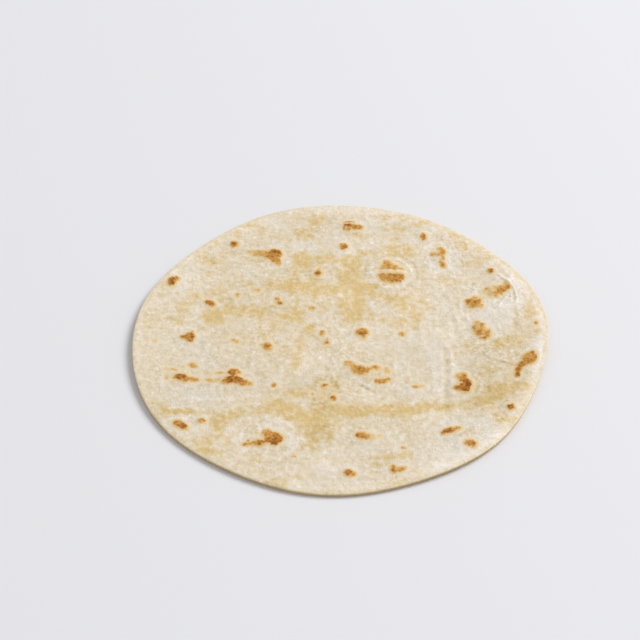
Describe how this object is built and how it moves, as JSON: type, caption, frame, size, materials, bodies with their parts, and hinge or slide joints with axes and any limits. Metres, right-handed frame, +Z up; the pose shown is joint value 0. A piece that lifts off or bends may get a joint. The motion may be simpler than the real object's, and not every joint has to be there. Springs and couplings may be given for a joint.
{
  "type": "tortilla",
  "caption": "Soft round wheat flour tortilla with a slightly warped rim, toasted blisters and golden patches on pale dough, lying flat.",
  "frame": {"origin": "on the table under the middle of the round, which is the bottom centre of its bounding box", "axes": "+Z up, through the thin dough and out of its blistered top; +X and +Y lie in the round, +X towards its most raised rim"},
  "size_m": [0.2048, 0.2006, 0.005],
  "materials": {
    "flour_dough": "matt soft flour dough, pale cream with golden patches and brown toasted blisters"
  },
  "bodies": {
    "root": {"tortilla": "flour_dough"}
  },
  "joints": []
}
